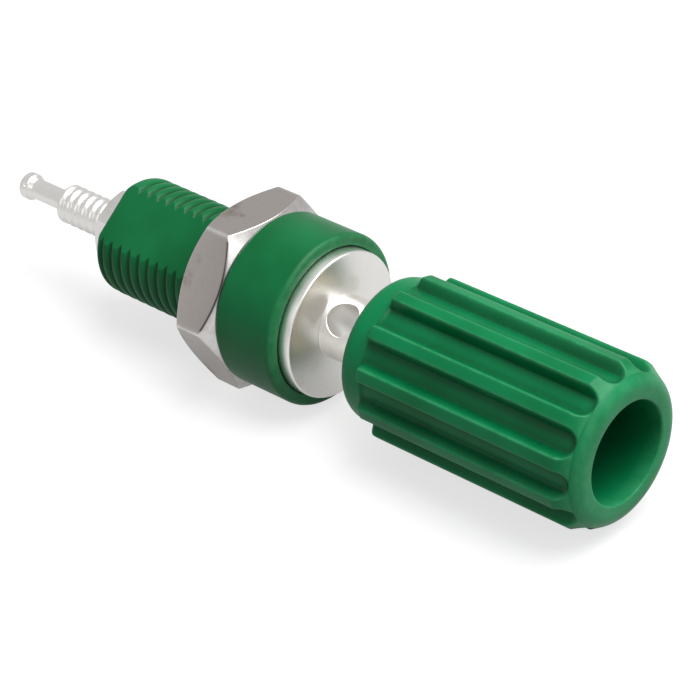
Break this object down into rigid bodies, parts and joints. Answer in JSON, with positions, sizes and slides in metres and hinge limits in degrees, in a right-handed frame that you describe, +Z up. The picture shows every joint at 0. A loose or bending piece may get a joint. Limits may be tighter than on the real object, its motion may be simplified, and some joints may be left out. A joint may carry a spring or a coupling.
{
  "type": "binding post",
  "caption": "Insulated panel binding post with a ribbed screw knob, a cross-drilled metal stem, a threaded shank with flats, a panel nut and a rear solder stud.",
  "frame": {"origin": "on the post's axis, in the plane of the collar's rear face, where the panel lies", "axes": "+X along the post's axis towards the knob's open front, +Z up as the post lies on a surface on its collar and knob, with a flat of the panel nut facing down"},
  "size_m": [0.0769, 0.0196, 0.0172],
  "materials": {
    "green_body": "moulded, satin gloss",
    "green_knob": "moulded, satin gloss",
    "plated_core": "nickel plated, turned",
    "plated_nut": "nickel plated",
    "plated_small_nut": "nickel plated",
    "insert_brass": "turned"
  },
  "bodies": {
    "post": {"body_moulding": "green_body", "contact_core": "plated_core", "stud_nut": "plated_small_nut"},
    "bush": {"knob_insert": "insert_brass"},
    "knob": {"knob": "green_knob"},
    "panel_nut": {"panel_nut": "plated_nut"}
  },
  "joints": [
    {"name": "knob_travel", "type": "slide", "parent": "post", "child": "bush", "axis": [1, 0, 0], "range_m": [-0.00561, 0]},
    {"name": "knob_turn", "type": "hinge", "parent": "bush", "child": "knob", "pos_m": [0.0195, 0, 0], "axis": [1, 0, 0], "range_deg": [-2016, 0]},
    {"name": "panel_nut_travel", "type": "slide", "parent": "post", "child": "panel_nut", "axis": [-1, 0, 0], "range_m": [0, 0.0131]}
  ],
  "couplings": [
    {"joint": "knob_travel", "follows": "knob_turn", "m_per_rad": 0.00015915}
  ]
}
